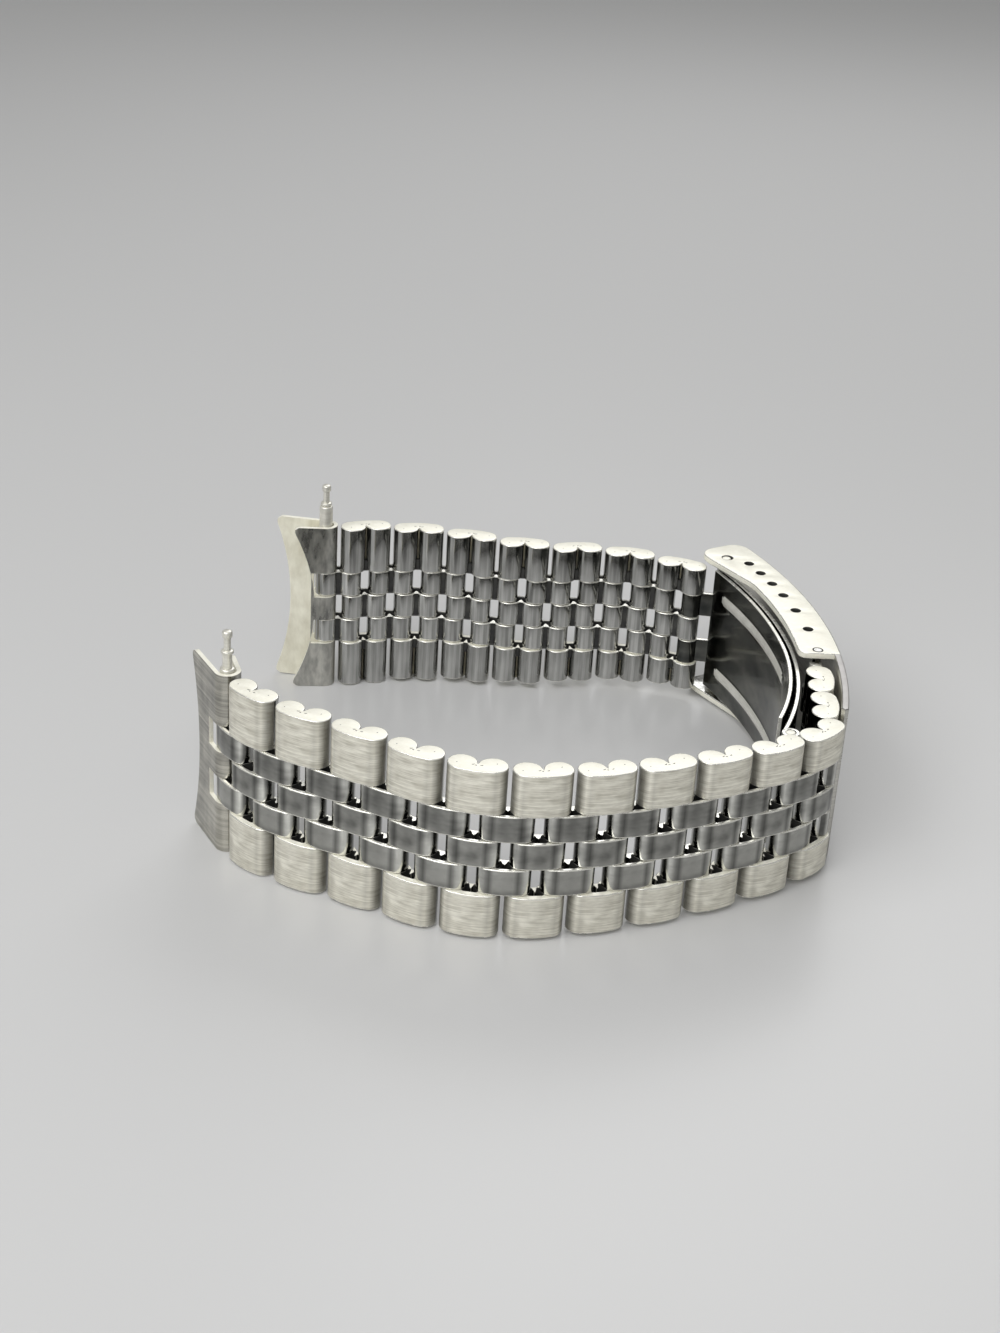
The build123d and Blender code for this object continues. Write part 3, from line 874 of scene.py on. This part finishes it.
def inner_blade():
    """Sheet on the wrist's side, with two ribs and tabs to its three eyes."""
    build = Build(BLADE, EDGE_HIGHLIGHT, RIB)
    near, far = MIDDLE_HINGE + EYE_TAB, HINGE_PLACE - BLADE_GAP
    row, places = blade_rows(INNER_BLADE_DEPTH, near, far, INNER_BLADE_STEPS)

    def rib_lift(index, height):
        """Two pressed ribs with round ends."""
        place = places[index]
        start, end = BLADE_BEND - RIB_START, far - RIB_END / 2
        over = max(start + RIB_WIDTH - place, place - end + RIB_WIDTH, 0)
        away = math.hypot(min(abs(height - RIB_PLACE), abs(height + RIB_PLACE)), over)
        share = min(1, away / (RIB_WIDTH / 2 + RIB_SLOPE))
        return RIB_HEIGHT * (0.5 + 0.5 * math.cos(math.pi * share)) ** RIB_FULLNESS

    def looks(index, height):
        return (RIB if rib_lift(index, height) > RIB_FOOT else BLADE), BLADE, EDGE_HIGHLIGHT

    marks = [-HALF_BLADE, -RIB_PLACE - RIB_WIDTH / 2, -RIB_PLACE + RIB_WIDTH / 2]
    heights = levels(marks + [-mark for mark in reversed(marks)], INNER_BLADE_LEVEL)
    sheet(build, lambda height: row, heights, BLADE_SHEET - BLADE_THINNING, lambda index, height: True,
          looks, rib_lift)
    tabs = [(row[0][0], at(MIDDLE_HINGE, EYE_RIM), -HALF_EYE, HALF_EYE, MIDDLE, BARREL, HINGE_PIN)]
    strand_pin = level_of(SHORT_PINS[0])
    for low, high in (ROW_A, ROW_C):
        tabs.append((row[-1][0], strand_pin, low, high, strand_pin, CENTRE_LOBE, PIN_RADIUS))
    for start, end, low, high, point, radius, pin in tabs:
        way = (end - start).normalized() * (BLADE_SHEET / 2)
        across = Vector((-way.y, way.x))
        root = start - way * TAB_OVERLAP
        strip = [root + across, end + across, end - across, root - across]
        solid(build, strip, low, high, TAB_ROUNDING, BLADE, (EDGE_HIGHLIGHT, EDGE_HIGHLIGHT), EDGE_HIGHLIGHT)
        eye(build, point, radius, pin + PIN_PLAY, low, high)
    piece = build.finish("fine_inner_blade", LEVEL, "clasp_inner_blade")
    soften(piece, BLADE_EDGE, EDGE_HIGHLIGHT, RIB_ANGLE)


outer_blade()
inner_blade()


# End links: a sheet folded round the spring bar, hollowed for the case.

END_TOP = END_WIDTH / 2
END_MIDDLE = OUTER_LOBE - END_SHEET / 2
END_SLOPE = SPREAD / (END_OUTER + END_SHEET)
OUTER_STEPS = 9
BEND_STEPS = 18
INNER_STEPS = 6
END_LEVEL = 0.3


def end_edge(reach, sag, height):
    """Where a skin ends at a height: hollow for the case, with its ears rounded."""
    radius = (END_TOP ** 2 + sag ** 2) / (2 * sag)
    hollow = reach - sag + radius - math.sqrt(radius ** 2 - height ** 2)
    ear = max(0, abs(height) - END_TOP + EAR) / EAR
    return hollow - (1 - math.sqrt(max(0, 1 - ear ** 2))) * EAR_CUT


def end_rows(height):
    """Points of the folded sheet with their normals, from one skin round to the other."""
    def skin(reach, sag, share, way):
        x = LINK_ROOM + (end_edge(reach, sag, height) - LINK_ROOM) * share
        normal = Vector((-END_SLOPE, way)).normalized()
        return Vector((x, way * (END_MIDDLE + END_SLOPE * x))), normal

    row = [skin(END_OUTER, OUTER_SAG, 1 - step / OUTER_STEPS, 1) for step in range(OUTER_STEPS)]
    row.append(skin(END_OUTER, OUTER_SAG, 0, 1))
    for step in range(BEND_STEPS + 1):
        turn = math.radians(90 + 180 * step / BEND_STEPS)
        way = Vector((math.cos(turn), math.sin(turn)))
        row.append((way * END_MIDDLE, way))
    return row + [skin(END_INNER, INNER_SAG, step / INNER_STEPS, -1) for step in range(INNER_STEPS + 1)]


def end_link(name, pin, heading, side):
    """Folded sheet, cut away beside the last centre links."""
    room = (ROW_A[0] - ROW_GAP, ROW_A[1] + ROW_GAP)

    def keep(index, height):
        beside = room[0] < abs(height) < room[1]
        return not beside or index < OUTER_STEPS or index > OUTER_STEPS + BEND_STEPS + 1

    def looks(index, height):
        return (SKIN if index < OUTER_STEPS + 1 + BEND_STEPS / 2 else ROUGH), HOLLOW, CAP

    build = Build(SKIN, HOLLOW, CAP, ROUGH)
    marks = [*room, END_TOP - EAR_LEVEL, END_TOP]
    heights = levels([-mark for mark in reversed(marks)] + marks, END_LEVEL)
    sheet(build, end_rows, heights, END_SHEET, keep, looks, None, side)
    place = pin_frame(pin) @ Matrix.Rotation(math.radians(heading), 4, "Z")
    piece = build.finish("fine_" + name, place, name)
    soften(piece, END_EDGE, CAP)


end_link("long_end_link", LONG_PINS[-1], LONG_END_ANGLE, 1)
end_link("short_end_link", SHORT_PINS[-1], SHORT_END_ANGLE, -1)


# Spring bars and hinge pins, turned about their axes.

ROD_SIDES = 24


def rod_profile(radius, low, high, edge):
    """Rod with rounded ends."""
    rings = [(radius - edge, low), (radius - edge * 0.3, low + edge * 0.3), (radius, low + edge)]
    return rings + [(r, low + high - z) for r, z in reversed(rings)]


def tip_profile(mouth, way, out):
    """Sprung tip, from its root in the tube to its head."""
    shoulder, root, end = mouth + out * way, mouth - SHAFT_IN * way, mouth + (out + TIP_REACH) * way
    collar, head = shoulder + COLLAR_HEIGHT * way, end - TIP_HEAD * way
    # radius, level, and how far past it
    rings = [(BAR_SHAFT, root, 0), (BAR_SHAFT, shoulder, -0.02),
             (COLLAR_RADIUS - 0.05, shoulder, 0), (COLLAR_RADIUS, shoulder, 0.06),
             (COLLAR_RADIUS, collar, -0.06), (COLLAR_RADIUS - 0.05, collar, 0),
             (NECK_RADIUS, collar, 0.03), (NECK_RADIUS, head, -0.05),
             (TIP_RADIUS - 0.06, head, 0), (TIP_RADIUS, head, 0.07), (TIP_RADIUS, end, -0.16),
             (TIP_RADIUS - 0.06, end, -0.06), (TIP_RADIUS - 0.17, end, 0)]
    return [(radius, level + past * way) for radius, level, past in rings][::way]


def spin(name, point, profile, material):
    """Turned piece that stands for the node of the same name."""
    build = Build(material)
    lathe(build, profile, material, ROD_SIDES)
    build.finish("fine_" + name, pin_frame(point), name)


def spring_bar(name, pin, lift, out):
    """Tube of a loose bar and both its tips."""
    low, high = lift - BAR_TUBE / 2, lift + BAR_TUBE / 2
    spin(f"{name}_tube", pin, rod_profile(BAR_RADIUS, low, high, BAR_EDGE), BAR)
    spin(f"{name}_tip_low", pin, tip_profile(low, -1, SHAFT_OUT), BAR)
    spin(f"{name}_tip_top", pin, tip_profile(high, 1, out), BAR)


def centred_rod(name, pin, radius, reach, edge, material):
    """Rod that reaches as far up as down from the middle of the strands' width."""
    spin(name, pin, rod_profile(radius, -reach, reach, edge), material)


spring_bar("long_bar", LONG_PINS[-1], LONG_BAR_LIFT, SHAFT_OUT)
spring_bar("short_bar", SHORT_PINS[-1], SHORT_BAR_LIFT, SHAFT_OUT - SHORT_TIP_PUSHED)
centred_rod("clasp_bar_tube", LONG_PINS[0], CLASP_BAR_RADIUS, CLASP_BAR_TUBE / 2, CLASP_BAR_EDGE, BAR)
centred_rod("clasp_hinge_pin", pin_of("clasp_hinge"), HINGE_PIN, HALF_COVER - HINGE_PIN_SHORT,
            HINGE_PIN_EDGE, CAP)
centred_rod("clasp_middle_pin", pin_of("clasp_middle_hinge"), HINGE_PIN, HALF_BLADE, MIDDLE_PIN_EDGE, CAP)


def paint(name, material):
    """The material on a solid that keeps its place."""
    mesh = frame["nodes"][name].data
    mesh.materials.clear()
    mesh.materials.append(material)
    for face in mesh.polygons:
        face.material_index = 0


for bar in ("long_bar", "short_bar", "clasp_bar"):
    paint(f"{bar}_spring", SPRING)
# the clasp bar's tips in the darker steel: painted shade, where they sit in the cover's holes
for end in ("low", "top"):
    paint(f"clasp_bar_tip_{end}", INSIDE)


# Floor, light and camera, in metres.

FLOOR_REACH = 2


def plain_floor():
    """Plain pale floor with a weak sheen."""
    mat, _, shader = new_material("floor")
    shader.inputs["Base Color"].default_value = (0.56, 0.56, 0.56, 1)
    shader.inputs["Roughness"].default_value = 0.3
    shader.inputs["Specular IOR Level"].default_value = 0.3
    mesh = bpy.data.meshes.new("floor")
    corners = [(x * FLOOR_REACH, y * FLOOR_REACH, 0) for x, y in ((-1, -1), (1, -1), (1, 1), (-1, 1))]
    mesh.from_pydata(corners, [], [(0, 1, 2, 3)])
    mesh.materials.append(mat)
    floor = bpy.data.objects.new("floor", mesh)
    scene.collection.objects.link(floor)


def studio():
    """Soft surroundings: bright above, dim round the horizon."""
    world = bpy.data.worlds.new("studio")
    scene.world = world
    world.use_nodes = True
    tree = world.node_tree
    stops = [(0, grey(0.14)), (0.3, (0.3, 0.3, 0.295)), (0.8, (0.58, 0.58, 0.575))]
    colour = ramp(tree, coordinate(tree, "Generated", "Z"), stops)
    tree.links.new(colour, tree.nodes["Background"].inputs["Color"])
    tree.nodes["Background"].inputs["Strength"].default_value = 0.9


def lamp(name, size, power, place, aim=(0, 0, 0.01)):
    """Square soft light."""
    light = bpy.data.lights.new(name, "AREA")
    light.size = size
    light.energy = power
    made = bpy.data.objects.new(name, light)
    made.location = place
    made.rotation_euler = (Vector(aim) - Vector(place)).to_track_quat("-Z", "Y").to_euler()
    scene.collection.objects.link(made)


plain_floor()
studio()
lamp("key", 0.22, 0.55, (-0.24, -0.14, 0.34))
lamp("front", 0.45, 1.7, (-0.14, -0.42, 0.36))
lamp("back", 0.25, 0.45, (0.08, 0.33, 0.3))

# the camera as the photograph's perspective gives it: its width and focal length in pixels
PICTURE_WIDTH = 1000
FOCAL = 2102
EYE = Vector((-0.00215, -0.1954, 0.1134))
PITCH = 26.74
ROLL = 2.11
camera_data = bpy.data.cameras.new("camera")
camera_data.sensor_fit = "HORIZONTAL"
camera_data.sensor_width = 36
camera_data.lens = FOCAL / PICTURE_WIDTH * camera_data.sensor_width
camera_data.clip_start = 0.005
camera = bpy.data.objects.new("camera", camera_data)
camera.matrix_world = (Matrix.Translation(EYE) @ Matrix.Rotation(math.radians(90 - PITCH), 4, "X")
                       @ Matrix.Rotation(math.radians(ROLL), 4, "Z"))
scene.collection.objects.link(camera)
scene.camera = camera
scene.view_settings.view_transform = "Standard"

bpy.context.view_layer.update()
